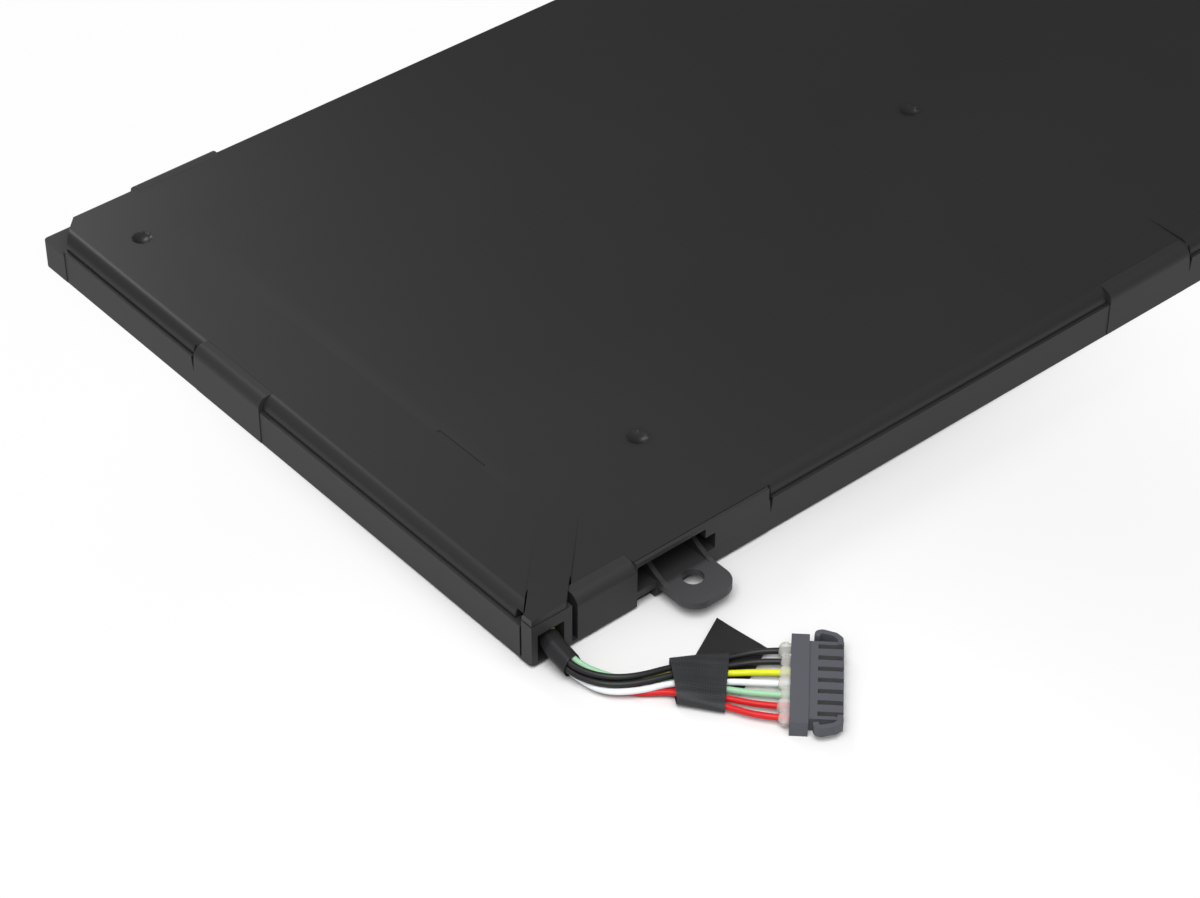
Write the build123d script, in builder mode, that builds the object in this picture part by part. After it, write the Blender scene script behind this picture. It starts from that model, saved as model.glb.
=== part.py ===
"""Slim laptop battery: moulded case with screw tabs, three pouch cells, a protection board and a short lead.

Millimetres, +Z up. The origin is on the underside, at the middle of the case and its tabs.
The front wall, with the tabs and the cable window, faces -Y.
"""

import math
import os

from build123d import *

# Overall sizes
pack_length = 226.0
pack_depth = 110.0
pack_height = 7.7
tab_reach = 7.0

# Case walls
wall = 1.6
floor = 0.8
ledge_height = 5.6
corner_round = 0.8
bottom_bevel = 0.4
wall_setback = 0.12
corner_height = 4.9

# Cover
cover_inset = 0.65
cover_thickness = 0.7
skirt = 1.3
seam = 0.1
block_seam = 0.03
cover_edge_round = 1.9
cover_back_bevel = 1.1
cover_corner_cut = 5.5
field_rise = 0.1
field_slope = 88
field_round = 6.0
field_side = 13.7
field_front = 11.6
field_back = 9.5

# Raised stretches of wall, flush with the cover: distances from the nearest end of the case
near_block = (7.5, 17.2)
lip = (17.2, 40.0)
mid_block_width = 16.3
side_block = (57.4, 72.4)
back_block = (15.3, 29.5)
block_round = 1.6
notch_width = 1.1
notch_drop = 4.5
notch_reach = 1.2

# Cable box at the left front corner
box_width = 6.6
box_side = 2.0
box_wall = 1.2
box_slit = 0.5
window = (1.0, 5.3)
window_top = 5.2
tongue_offset = (-1.6, 5.8)
tongue_length = 21.0
tongue_rise = 0.4
tongue_slit = 0.25
tongue_slit_length = 5.0

# Screw tabs
tab_from_end = 24.8
tab_width = 8.3
tab_top = 2.9
tab_thickness = 1.05
tab_round = 2.8
tab_hole_radius = 1.5
tab_hole_out = 2.3
gusset = 0.7
gusset_foot = 1.9
gusset_top = 6.4
gusset_hollow = 0.5
pocket_outer = 7.4
pocket_depth = 4.0
pocket_wall = 0.8
undercut_depth = 1.2
side_window = 1.7
side_window_top = 5.5

# Marks on the cover, as (from the left end, from the front wall)
dimples = ((33.7, 18.9), (9.1, 97.8), (114.9, 50.5))
dimple_radius = 1.5
dimple_depth = 0.45
groove_start = (14.2, 27.4)
groove_length = 9.5
groove_width = 0.6
groove_depth = 0.06
crease_width = 0.5
crease_length = 9.6

# Cells
cell_count = 3
cell_margin = 14.0
cell_front = 13.6
cell_back_gap = 1.0
cell_gap = 0.4
partition = 1.0
partition_height = 3.0
cell_pad = 0.2
cell_headroom = 0.3
cell_round = 2.0
terrace_depth = 4.5
terrace_thickness = 0.8
cell_tab_width = 6.0
cell_tab_thickness = 0.15
cell_tab_apart = 28.0

# Protection board
board_from_end = 17.5
board_width = 8.2
board_gap = 0.3
board_thickness = 0.8
boss_height = 0.9
boss_width = 2.0
boss_count = 6
weld_plate = (7.0, 4.5, 0.3)
chip_height = 1.3
gauge_chip = (5.0, 5.0, chip_height)
transistor = (3.2, 3.2, chip_height)
transistor_count = 2
transistor_pitch = 5.0
fuse = (6.2, 2.6, chip_height)
sense_resistor = (6.4, 3.2, chip_height)
capacitor = (1.6, 0.8, 0.8)
capacitor_count = 6
capacitor_pitch = 3.0
insulator_thickness = 0.2
insulator_margin = 4.5

# Lead
wire_radius = 0.43
wire_sides = 6
bundle_pitch = 0.95
solder = (1.2, 0.8, 0.9)
sleeve_thickness = 0.12
sleeve_clearance = 0.07
sleeve_sides = 12
sleeve_start = 0.9
sleeve_end = -4.2
tape_thickness = 0.15
tape_clearance = 0.35
tape_lift = 0.05

# Connector, as (from the left end, from the front wall) for the middle of its rear face
connector_at = (22.12, -23.5)
connector_heading = -44.0
connector_ways = 7
connector_pitch = 2.0
flange = (2.3, 15.9, 2.3)
plug_body = (4.3, 13.9, 1.9)
plug_lift = 0.2
slot = (3.2, 0.75, 0.9)
wire_height_plug = 1.1
wire_socket = 1.1
wire_straight = 3.3
contact = (4.6, 0.6, 0.4)
fit = 0.05
hook_width = 0.7
hook_lift = 0.95
hook_height = 1.4
hook_bend = 0.4
hook_path = ((6.2, 6.3), (6.15, 7.4), (5.5, 8.05), (3.9, 8.55), (3.3, 8.4), (3.2, 7.7))
glue_length = 1.7
glue_radius = 0.95
glue_bar = (0.8, 1.7)

# Places worked out from the sizes above
left = -pack_length / 2
right = pack_length / 2
front = (tab_reach - pack_depth) / 2
back = front + pack_depth
middle_y = (front + back) / 2
rim = cover_inset - seam
block_depth = cover_inset + cover_edge_round
cover_under = pack_height - cover_thickness
tab_bottom = tab_top - tab_thickness
pocket_back = front + pocket_depth
board_bottom = floor + boss_height
board_top = board_bottom + board_thickness
board_front = pocket_back + pocket_wall + board_gap
board_back = board_front + board_width
board_left = left + board_from_end
board_length = pack_length - 2 * board_from_end
chip_top = board_top + chip_height
cell_bottom = floor + cell_pad
cell_thickness = cover_under - cell_headroom - cell_bottom
cell_span = (pack_length - 2 * cell_margin) / cell_count
cell_width = cell_span - partition - 2 * cell_gap
cell_y0 = front + cell_front
cell_y1 = back - wall - cell_back_gap
body_y0 = cell_y0 + terrace_depth
tab_level = board_top + weld_plate[2]
cell_centres = [left + cell_margin + cell_span * (i + 0.5) for i in range(cell_count)]
tab_places = [x + side * cell_tab_apart / 2 for x in cell_centres for side in (-1, 1)]
board_gaps = [(a + b) / 2 for a, b in zip(tab_places, tab_places[1:])]
connector_plane = Plane(
    origin=(left + connector_at[0], front + connector_at[1], 0),
    x_dir=Vector(1, 0).rotate(Axis.Z, connector_heading),
    z_dir=(0, 0, 1),
)

# Stations along the lead: point from the left end and the front wall, heading in degrees, height,
# spacing of the wires where they lie side by side, and how far they are gathered into a round bundle
stations = (
    (19.8, 9.0, 180.0, 3.05, 1.15, 0.0),
    (14.6, 8.9, 189.0, 3.05, 1.15, 0.0),
    (8.9, 7.2, 207.5, 3.0, 1.15, 0.5),
    (4.1, 3.4, 237.0, 2.9, 1.15, 1.0),
    (3.05, -0.9, 263.0, 2.65, 1.15, 1.0),
    (3.05, -4.9, 279.0, 1.75, 1.1, 1.0),
    (4.3, -8.9, 303.0, 1.5, 1.1, 1.0),
    (7.3, -11.6, 324.6, 1.2, 1.1, 0.5),
    (11.3, -13.8, 326.0, 0.9, 1.0, 0.0),
    (16.6, -18.0, 314.5, 0.9, 1.45, 0.0),
)
sleeve_stations = stations[3:6]
tape_stations = stations[-2:]

# Each wire's lane where the lead is flat, and its place in the round bundle in half pitches and rows
lanes = {
    "wire_black_1": (3, 2, 0),
    "wire_black_2": (2, 1, 1),
    "wire_yellow": (1, 1, -1),
    "wire_white": (0, 0, 0),
    "wire_green": (-1, -1, 1),
    "wire_red_1": (-2, -1, -1),
    "wire_red_2": (-3, -2, 0),
}
bundle_row = bundle_pitch * math.sqrt(3) / 2
tape_tail = ((23.6, -8.3), (24.9, -16.3), (16.8, -20.2), (15.5, -12.2))

os.makedirs("parts", exist_ok=True)


def keep(builder, name):
    """Label a finished piece and write its STEP file."""
    builder.part.label = name
    export_step(builder.part, f"parts/{name}.step")


def block(low, high, mode=Mode.ADD):
    """A straight-sided block between two corners, in the part that is open."""
    size = [b - a for a, b in zip(low, high)]
    with Locations(low):
        Box(*size, align=Align.MIN, mode=mode)


def wall_stretches(room=0):
    """Plan rectangles of the raised blocks and of the lips, as (x0, x1, y0, y1); room adds their seams."""
    gap = room * block_seam
    half = mid_block_width / 2
    blocks = [(-half - gap, half + gap, front, front + block_depth + gap)]
    for x0, x1 in (near_block, (pack_length - near_block[1], pack_length - near_block[0])):
        blocks.append((left + x0 - gap, left + x1 + gap, front, front + block_depth + gap))
    for x0, x1 in ((left, left + block_depth + gap), (right - block_depth - gap, right)):
        blocks.append((x0, x1, front + side_block[0] - gap, front + side_block[1] + gap))
    for x0, x1 in (back_block, (pack_length - back_block[1], pack_length - back_block[0])):
        blocks.append((left + x0 - gap, left + x1 + gap, back - block_depth - gap, back))
    gap = room * seam
    lips = []
    for x0, x1 in (lip, (pack_length - lip[1], pack_length - lip[0])):
        lips.append((left + x0 - gap, left + x1 + gap, front, front + rim + gap))
    return blocks, lips


def set_back_walls():
    """Plan rectangles that set the walls back a little between their raised stretches."""
    half = mid_block_width / 2
    spans = [
        (left + lip[1], -half, front, front + wall_setback),
        (half, right - lip[1], front, front + wall_setback),
    ]
    for x0, x1 in ((left, left + wall_setback), (right - wall_setback, right)):
        spans.append((x0, x1, front + box_side + box_slit, front + side_block[0]))
        spans.append((x0, x1, front + side_block[1], back - cover_corner_cut))
    return spans


def cut_notches():
    """V notches beside the raised stretches, cut inwards through the part that is open."""
    half = notch_width / 2
    places = (
        (left + lip[1] + half, front, 90),
        (right - lip[1] - half, front, 90),
        (mid_block_width / 2 + half, front, 90),
        (left, front + side_block[1] + half, 0),
        (right, front + side_block[1] + half, 180),
    )
    for x, y, turn in places:
        inward = Vector(1, 0).rotate(Axis.Z, turn)
        with BuildSketch(Plane((x, y, pack_height), x_dir=(0, 0, 1), z_dir=inward)) as vee:
            with BuildLine():
                Polyline((0, -half), (0, half), (-notch_drop, 0), close=True)
            make_face()
        extrude(vee.sketch, amount=notch_reach, mode=Mode.SUBTRACT)


def station_point(station, across=0.0, rise=0.0):
    """A point beside a station of the lead, to the left of travel and above its height."""
    x, y, heading, height = station[:4]
    sideways = math.radians(heading + 90)
    x += across * math.cos(sideways)
    y += across * math.sin(sideways)
    return Vector(left + x, front + y, height + rise)


def wire_points(name):
    """The corners of one wire's path, from the board to its contact."""
    lane, half_pitches, rows_up = lanes[name]
    points = []
    for station in stations:
        spacing, gathered = station[4:]
        across = (1 - gathered) * lane * spacing + gathered * half_pitches * bundle_pitch / 2
        points.append(station_point(station, across, gathered * rows_up * bundle_row))
    for along in (-wire_straight, wire_socket):
        in_plug = Vector(along, lane * connector_pitch, wire_height_plug)
        points.append(connector_plane.from_local_coords(in_plug))
    return points


def point_at_depth(start, end, y):
    """The point between two stations that lies at a distance from the front wall."""
    a, b = station_point(start), station_point(end)
    return a + (b - a) * ((front + y - a.Y) / (b.Y - a.Y))


def bend_radii(points):
    """The largest easy bend at each inner corner: 0.45 of the shorter run on either side."""
    radii = []
    for before, here, after in zip(points, points[1:], points[2:]):
        half_turn = math.radians((here - before).get_angle(after - here)) / 2
        shorter = min((here - before).length, (after - here).length)
        radii.append(0.45 * shorter / math.tan(half_turn))
    return radii


# Lower case
with BuildPart() as lower_case:
    with BuildSketch():
        with Locations((0, middle_y)):
            RectangleRounded(pack_length, pack_depth, corner_round)
    extrude(amount=ledge_height)
    chamfer(lower_case.faces().sort_by(Axis.Z)[0].edges(), bottom_bevel)
    with BuildSketch(Plane.XY.offset(floor)):
        with Locations((0, middle_y)):
            Rectangle(pack_length - 2 * wall, pack_depth - 2 * wall)
    extrude(amount=pack_height, mode=Mode.SUBTRACT)
    for x0, x1, y0, y1 in set_back_walls():
        block((x0, y0, 0), (x1, y1, ledge_height), mode=Mode.SUBTRACT)

    # Raised stretches of wall, with a soft outer edge on all but the thin lips
    blocks, lips = wall_stretches()
    for x0, x1, y0, y1 in blocks:
        block((x0, y0, ledge_height), (x1, y1, pack_height))
    across = lower_case.edges().filter_by(Axis.X).group_by(Axis.Z)[-1].group_by(Axis.Y)
    along = lower_case.edges().filter_by(Axis.Y).group_by(Axis.Z)[-1].group_by(Axis.X)
    fillet(across[0] + across[-1] + along[0] + along[-1], block_round)
    for x0, x1, y0, y1 in lips:
        block((x0, y0, ledge_height), (x1, y1, pack_height))
    cut_notches()

    # Cable box: the corner stands up to the cover, with a slit either side of it and a window in front
    block((left, front, floor), (left + box_width, front + box_wall, cover_under))
    block((left, front, floor), (left + box_wall, front + box_side, cover_under))
    block(
        (left + box_width, front, floor),
        (left + near_block[0], front + wall, pack_height),
        mode=Mode.SUBTRACT,
    )
    block(
        (left, front + box_side, floor),
        (left + wall, front + box_side + box_slit, pack_height),
        mode=Mode.SUBTRACT,
    )
    block(
        (left + window[0], front, floor),
        (left + window[1], front + wall, window_top),
        mode=Mode.SUBTRACT,
    )

    # The cover stops short of one back corner, which is filled and a little lower than the ledge
    block(
        (left + wall / 2, back - cover_corner_cut, floor),
        (left + cover_corner_cut, back - wall / 2, ledge_height),
    )
    with BuildSketch(Plane.XY.offset(corner_height)):
        with BuildLine():
            Polyline(
                (left, back),
                (left, back - cover_corner_cut),
                (left + cover_corner_cut, back),
                close=True,
            )
        make_face()
    extrude(amount=ledge_height, mode=Mode.SUBTRACT)

    # Screw tabs: a plate in a pocket of the wall, two gussets and a hole
    for x, hand in ((left + tab_from_end, 1), (right - tab_from_end, -1)):
        outer = x - hand * pocket_outer
        rib_end = x + hand * tab_width / 2
        inner = rib_end + hand * side_window
        low, high = sorted((outer, inner))
        block(
            (low - pocket_wall, front, floor),
            (high + pocket_wall, pocket_back + pocket_wall, ledge_height),
        )
        block(
            (low - pocket_wall, front + rim, ledge_height),
            (high + pocket_wall, pocket_back + pocket_wall, cover_under),
        )
        block((low, front, tab_top), (high, pocket_back, side_window_top), mode=Mode.SUBTRACT)
        low, high = sorted((outer, rib_end))
        block((low, front, tab_top), (high, pocket_back, cover_under), mode=Mode.SUBTRACT)
        low, high = sorted((outer, x - hand * tab_width / 2))
        block((low, front, 0), (high, front + undercut_depth, tab_bottom), mode=Mode.SUBTRACT)
        with BuildSketch(Plane.XY.offset(tab_bottom)) as plate:
            with Locations((x, front)):
                Rectangle(tab_width, 2 * tab_reach)
            fillet(plate.vertices().group_by(Axis.Y)[0], tab_round)
            with Locations((x, front + wall + tab_reach / 2)):
                Rectangle(tab_width, tab_reach, mode=Mode.SUBTRACT)
        extrude(amount=tab_thickness)
        for side in (-1, 1):
            with BuildSketch(Plane.YZ.offset(x + side * (tab_width - gusset) / 2)):
                with BuildLine():
                    foot = (front - gusset_foot, tab_top)
                    head = (pocket_back, gusset_top)
                    Polyline(foot, (pocket_back, tab_top), head)
                    SagittaArc(foot, head, -gusset_hollow)
                make_face()
            extrude(amount=gusset / 2, both=True)
        with Locations((x, front - tab_hole_out, tab_top)):
            Hole(tab_hole_radius, depth=tab_thickness)

    # Partitions beside the cells and bosses under the board
    for i in range(cell_count + 1):
        x = left + cell_margin + cell_span * i
        block((x - partition / 2, cell_y0, floor), (x + partition / 2, back - wall, partition_height))
    boss_pitch = (board_length - 3 * boss_width) / (boss_count - 1)
    for i in range(boss_count):
        x = board_left + boss_width + boss_pitch * i
        block((x, board_front, floor), (x + boss_width, board_back, board_bottom))
keep(lower_case, "lower_case")

# Tongue of the cover along the cable channel, at 45 degrees: highest at the corner and fading inwards
tongue_sides = [offset / math.sqrt(2) for offset in tongue_offset]
with BuildPart() as tongue:
    beside = Vector(1, -1, 0).normalized() * tongue_sides[0]
    with BuildSketch(Plane(Vector(left, front, pack_height) + beside, x_dir=(1, 1, 0), z_dir=(1, -1, 0))):
        with BuildLine():
            Polyline((0, 0), (tongue_length, 0), (0, tongue_rise), close=True)
        make_face()
    extrude(amount=tongue_sides[1] - tongue_sides[0])
    block(
        (left + seam, front + seam, pack_height),
        (left + tongue_length, front + tongue_length, pack_height + tongue_rise),
        mode=Mode.INTERSECT,
    )

# Top cover
with BuildPart() as top_cover:
    with BuildSketch(Plane.XY.offset(ledge_height)) as outline:
        with Locations((0, middle_y)):
            Rectangle(pack_length - 2 * cover_inset, pack_depth - 2 * cover_inset)
        corners = outline.vertices().sort_by_distance((left, back))
        chamfer(corners[0], cover_corner_cut - cover_inset)
        fillet(corners[1:], corner_round)
    extrude(amount=pack_height - ledge_height)
    with BuildSketch(Plane.YZ) as profile:
        with Locations((middle_y, (ledge_height + pack_height) / 2)):
            Rectangle(pack_depth - 2 * cover_inset, pack_height - ledge_height)
        rear_top, front_top = profile.vertices().group_by(Axis.Y)[-1].sort_by(Axis.X, reverse=True)
        chamfer(rear_top, cover_back_bevel)
        fillet(front_top, cover_edge_round)
    extrude(amount=pack_length, both=True, mode=Mode.INTERSECT)
    with BuildSketch(Plane.XZ) as profile:
        with Locations((0, (ledge_height + pack_height) / 2)):
            Rectangle(pack_length - 2 * cover_inset, pack_height - ledge_height)
        fillet(profile.vertices().group_by(Axis.Y)[-1], cover_edge_round)
    extrude(amount=pack_depth, both=True, mode=Mode.INTERSECT)

    # Beside the lips the cover stays flat to its edge
    for x0, x1 in ((left + lip[0], left + lip[1]), (right - lip[1], right - lip[0])):
        block((x0, front + cover_inset, ledge_height), (x1, front + block_depth, pack_height))
    with BuildSketch(Plane.XY.offset(ledge_height)) as inner:
        with Locations((0, middle_y)):
            Rectangle(pack_length - 2 * (cover_inset + skirt), pack_depth - 2 * (cover_inset + skirt))
        chamfer(inner.vertices().sort_by_distance((left, back))[0], cover_corner_cut)
    extrude(amount=cover_under - ledge_height, mode=Mode.SUBTRACT)

    # Room for the raised stretches of wall, the pockets and the cable box
    for stretches in wall_stretches(room=1):
        for x0, x1, y0, y1 in stretches:
            block((x0, y0, ledge_height), (x1, y1, pack_height), mode=Mode.SUBTRACT)
    for x0, x1 in ((left, left + lip[1]), (right - lip[1], right - near_block[0])):
        block((x0, front, ledge_height), (x1, front + pocket_depth, cover_under), mode=Mode.SUBTRACT)
    with BuildSketch(Plane.XY.offset(ledge_height)):
        with BuildLine():
            Polyline(
                (left, front),
                (left + pocket_depth, front),
                (left + pocket_depth, front + pocket_depth - tongue_offset[0]),
                (left, front - tongue_offset[0]),
                close=True,
            )
        make_face()
    extrude(amount=cover_under - ledge_height, mode=Mode.SUBTRACT)

    # Over the cable box the cover reaches the outer faces
    block(
        (left + seam, front + seam, cover_under),
        (left + box_width, front + box_side, pack_height),
    )

    # Raised field over the cells
    with BuildSketch(Plane.XY.offset(pack_height)):
        with Locations((0, middle_y + (field_front - field_back) / 2)):
            RectangleRounded(pack_length - 2 * field_side, pack_depth - field_front - field_back, field_round)
    extrude(amount=field_rise, taper=field_slope)

    # Tongue, with a slit each side near the corner
    add(tongue.part)
    near_corner = Plane((left, front, pack_height + tongue_rise), x_dir=(1, 1, 0), z_dir=(0, 0, 1))
    slit_start = (2 * box_side + tongue_offset[0]) / math.sqrt(2)
    for side in tongue_sides:
        with BuildSketch(near_corner):
            with Locations((slit_start, -side)):
                slit_length = abs(side) + tongue_slit_length - slit_start
                Rectangle(slit_length, tongue_slit, align=(Align.MIN, Align.CENTER))
        extrude(amount=ledge_height - pack_height - tongue_rise, mode=Mode.SUBTRACT)
    block_start = left + near_block[0] - block_seam
    with BuildSketch(Plane.XY.offset(cover_under)):
        with BuildLine():
            Polyline(
                (left + tongue_offset[1], front),
                (block_start, front),
                (block_start, front + near_block[0] - block_seam - tongue_offset[1]),
                close=True,
            )
        make_face()
    extrude(amount=cover_thickness, mode=Mode.SUBTRACT)

    # Sink marks, a short groove and the crease beside the middle stretch
    dome = (dimple_radius**2 + dimple_depth**2) / (2 * dimple_depth)
    for x, y in dimples:
        in_field = field_side < x < pack_length - field_side and field_front < y < pack_depth - field_back
        surface = pack_height + (field_rise if in_field else 0)
        with Locations((left + x, front + y, surface + dome - dimple_depth)):
            Sphere(dome, mode=Mode.SUBTRACT)
    groove_x, groove_y = left + groove_start[0], front + groove_start[1]
    block(
        (groove_x, groove_y, pack_height - groove_depth),
        (groove_x + groove_width, groove_y + groove_length, pack_height + field_rise),
        mode=Mode.SUBTRACT,
    )
    with BuildSketch(Plane.YZ.offset(mid_block_width / 2 + notch_width / 2)):
        with BuildLine():
            Polyline(
                (front + cover_inset, pack_height),
                (front + cover_inset, pack_height - cover_thickness / 2),
                (front + crease_length, pack_height),
                close=True,
            )
        make_face()
    extrude(amount=crease_width / 2, both=True, mode=Mode.SUBTRACT)
    cut_notches()
keep(top_cover, "top_cover")

# Cells: a pouch with a sealed terrace at the front, a pad underneath and two tabs
for number, x in enumerate(cell_centres, 1):
    with BuildPart() as cell:
        with BuildSketch(Plane.XY.offset(cell_bottom)):
            with Locations((x, (body_y0 + cell_y1) / 2)):
                RectangleRounded(cell_width, cell_y1 - body_y0, cell_round)
        extrude(amount=cell_thickness)
        block(
            (x - cell_width / 2 + cell_round, cell_y0, tab_level - terrace_thickness / 2),
            (x + cell_width / 2 - cell_round, body_y0 + cell_round, tab_level + terrace_thickness / 2),
        )
    keep(cell, f"cell_{number}")

    with BuildPart() as pad:
        with BuildSketch(Plane.XY.offset(floor)):
            with Locations((x, (body_y0 + cell_y1) / 2)):
                Rectangle(cell_width - 4 * cell_round, cell_y1 - body_y0 - 4 * cell_round)
        extrude(amount=cell_pad)
    keep(pad, f"cell_{number}_pad")

    for name, side in (("positive", -1), ("negative", 1)):
        tab_x = x + side * cell_tab_apart / 2
        with BuildPart() as cell_tab:
            block(
                (tab_x - cell_tab_width / 2, board_back - weld_plate[1], tab_level),
                (tab_x + cell_tab_width / 2, cell_y0, tab_level + cell_tab_thickness),
            )
        keep(cell_tab, f"cell_{number}_{name}_tab")

# Protection board and what is on it
with BuildPart() as board:
    block((board_left, board_front, board_bottom), (board_left + board_length, board_back, board_top))
keep(board, "protection_board")

with BuildPart() as weld_plates:
    for x in tab_places:
        block(
            (x - weld_plate[0] / 2, board_back - weld_plate[1], board_top),
            (x + weld_plate[0] / 2, board_back, tab_level),
        )
keep(weld_plates, "weld_plates")

# One kind of component stands in each gap between neighbouring weld plates
board_middle = (board_front + board_back) / 2
components = (
    ("gauge_chip", gauge_chip, 1, gauge_chip[0]),
    ("capacitors", capacitor, capacitor_count, capacitor_pitch),
    ("power_transistors", transistor, transistor_count, transistor_pitch),
    ("fuse", fuse, 1, fuse[0]),
    ("sense_resistor", sense_resistor, 1, sense_resistor[0]),
)
for x, (name, size, count, pitch) in zip(board_gaps, components):
    with BuildPart() as component:
        with Locations((x, board_middle, board_top + size[2] / 2)):
            with GridLocations(pitch, pitch, count, 1):
                Box(*size)
    keep(component, name)

with BuildPart() as board_insulator:
    block(
        (board_left + insulator_margin, board_front, chip_top),
        (board_left + board_length - insulator_margin, board_back, chip_top + insulator_thickness),
    )
keep(board_insulator, "board_insulator")

with BuildPart() as solder_joints:
    for name in lanes:
        start = wire_points(name)[0]
        with Locations((start.X, start.Y, board_top)):
            Box(*solder, align=(Align.MIN, Align.CENTER, Align.MIN))
keep(solder_joints, "solder_joints")

# Wires
for name in lanes:
    points = wire_points(name)
    radii = bend_radii(points)
    with BuildPart() as wire:
        with BuildLine() as path:
            FilletPolyline(*points, radius=radii)
        with BuildSketch(Plane(path.line @ 0, z_dir=path.line % 0)):
            section = RegularPolygon(wire_radius, wire_sides)
        sweep()
    length = sum(edge.length for edge in path.edges())
    share = wire.part.volume / (section.area * length)
    print(name, "bend radii", [round(r, 1) for r in radii], f"length {length:.1f} volume share {share:.4f}")
    keep(wire, name)

# Sleeve round the wires in the window
sleeve_points = [
    point_at_depth(sleeve_stations[0], sleeve_stations[1], sleeve_start),
    station_point(sleeve_stations[1]),
    point_at_depth(sleeve_stations[1], sleeve_stations[2], sleeve_end),
]
sleeve_bore = bundle_pitch + wire_radius + sleeve_clearance
with BuildPart() as sleeve:
    with BuildLine() as path:
        FilletPolyline(*sleeve_points, radius=[2 * r for r in bend_radii(sleeve_points)])
    with BuildSketch(Plane(path.line @ 0, x_dir=(1, 0, 0), z_dir=path.line % 0)):
        RegularPolygon(sleeve_bore + sleeve_thickness, sleeve_sides, major_radius=False)
        RegularPolygon(sleeve_bore, sleeve_sides, major_radius=False, mode=Mode.SUBTRACT)
    sweep()
keep(sleeve, "cable_sleeve")

# Tape band with its loose tail
with BuildPart() as tape_band:
    for grow, mode in ((tape_thickness, Mode.ADD), (0.0, Mode.SUBTRACT)):
        for station in tape_stations:
            heading = Vector(1, 0).rotate(Axis.Z, station[2])
            spread = (connector_ways - 1) * station[4] / 2
            width = 2 * (spread + wire_radius + tape_clearance + grow)
            bottom = tape_lift + tape_thickness - grow
            top = station[3] + wire_radius + tape_clearance + grow
            middle = station_point(station, rise=(bottom + top) / 2 - station[3])
            with BuildSketch(Plane(middle, x_dir=heading.cross(Vector(0, 0, 1)), z_dir=heading)):
                Rectangle(width, top - bottom)
        loft(ruled=True, mode=mode)
    with BuildSketch(Plane.XY.offset(tape_lift)):
        with BuildLine():
            Polyline(*[(left + x, front + y) for x, y in tape_tail], close=True)
        make_face()
    extrude(amount=tape_thickness)
keep(tape_band, "tape_band")

# Connector housing: flange, slotted body, wire sockets, contact channels and a hook at each end
plug_top = plug_lift + plug_body[2]
with BuildPart() as housing:
    with BuildSketch(connector_plane):
        with Locations((flange[0] / 2, 0)):
            Rectangle(flange[0], flange[1])
    extrude(amount=flange[2])
    with BuildSketch(connector_plane.offset(plug_lift)):
        with Locations((flange[0] + plug_body[0] / 2, 0)):
            Rectangle(plug_body[0], plug_body[1])
    extrude(amount=plug_body[2])
    for side in (1, -1):
        with BuildSketch(connector_plane.offset(hook_lift)):
            with BuildLine() as arm:
                FilletPolyline(*[(p, side * q) for p, q in hook_path], radius=hook_bend)
            trace(arm.line, line_width=hook_width)
        extrude(amount=hook_height)
    rows = [(0, (i - (connector_ways - 1) / 2) * connector_pitch) for i in range(connector_ways)]
    reach = flange[0] + plug_body[0]
    with BuildSketch(connector_plane.offset(plug_top)):
        with Locations(*[(reach - slot[0] / 2, q) for _, q in rows]):
            Rectangle(slot[0], slot[1])
    extrude(amount=-slot[2], mode=Mode.SUBTRACT)
    channel_floor = wire_height_plug - contact[2] / 2
    with BuildSketch(connector_plane.offset(channel_floor)):
        with Locations(*[((wire_socket + reach) / 2, q) for _, q in rows]):
            Rectangle(reach - wire_socket, contact[1] + 2 * fit)
    extrude(amount=contact[2] + fit, mode=Mode.SUBTRACT)
    rear = Plane(
        connector_plane.from_local_coords(Vector(0, 0, wire_height_plug)),
        x_dir=connector_plane.y_dir,
        z_dir=connector_plane.x_dir,
    )
    with BuildSketch(rear):
        with Locations(*[(q, 0) for _, q in rows]):
            Circle(wire_radius + fit)
    extrude(amount=wire_socket, mode=Mode.SUBTRACT)
keep(housing, "connector_housing")

with BuildPart() as contacts:
    with BuildSketch(connector_plane.offset(channel_floor)):
        with Locations(*[(wire_socket + contact[0] / 2, q) for _, q in rows]):
            Rectangle(contact[0], contact[1])
    extrude(amount=contact[2])
keep(contacts, "connector_contacts")

# Clear glue at the connector's rear: a collar round each wire, joined by a bar
with BuildPart() as glue:
    with BuildSketch(rear):
        with Locations(*[(q, 0) for _, q in rows]):
            RegularPolygon(glue_radius, wire_sides)
    extrude(amount=-glue_length)
    with BuildSketch(rear):
        Rectangle((connector_ways - 1) * connector_pitch, glue_bar[1])
    extrude(amount=-glue_bar[0])
    with BuildSketch(rear):
        with Locations(*[(q, 0) for _, q in rows]):
            RegularPolygon(wire_radius + fit, wire_sides, major_radius=False)
    extrude(amount=-glue_length, mode=Mode.SUBTRACT)
keep(glue, "connector_glue")
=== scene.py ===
"""Looks of a slim laptop battery: satin moulded case, taped lead of coloured wires and its slotted plug."""

import math

import bpy
from mathutils import Matrix, Vector


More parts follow.
